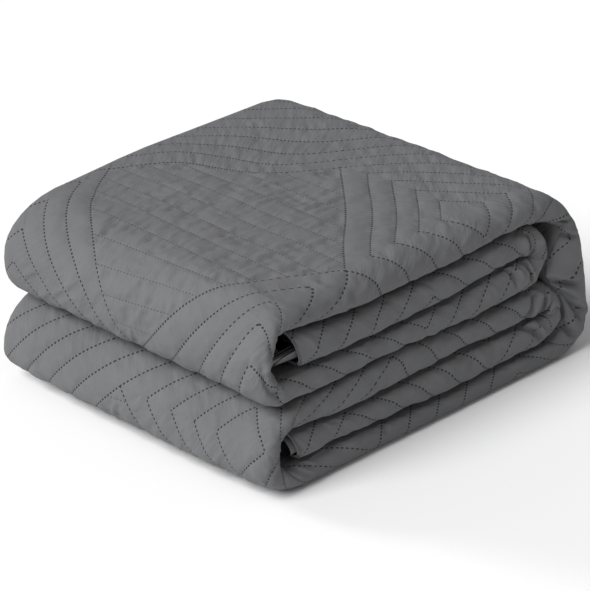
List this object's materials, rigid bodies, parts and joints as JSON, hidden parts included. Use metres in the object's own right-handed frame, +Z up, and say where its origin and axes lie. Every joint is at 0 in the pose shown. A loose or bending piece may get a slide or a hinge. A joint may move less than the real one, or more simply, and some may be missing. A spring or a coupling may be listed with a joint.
{
  "type": "folded bedspread",
  "caption": "Quilted bedspread folded flat for storage: a strip of cloth layers folded over itself into a soft rectangular stack that rests flat.",
  "frame": {"origin": "centre of the folded stack's footprint, on the surface it rests on", "axes": "+Z up from the resting surface, +X along the folded strip towards the large rounded fold, -Y towards the side that shows the layers' rounded folds"},
  "size_m": [0.3824, 0.2994, 0.161],
  "materials": {
    "fabric": "matte woven cloth with quilting lines"
  },
  "bodies": {
    "root": {"bedspread": "fabric"}
  },
  "joints": []
}
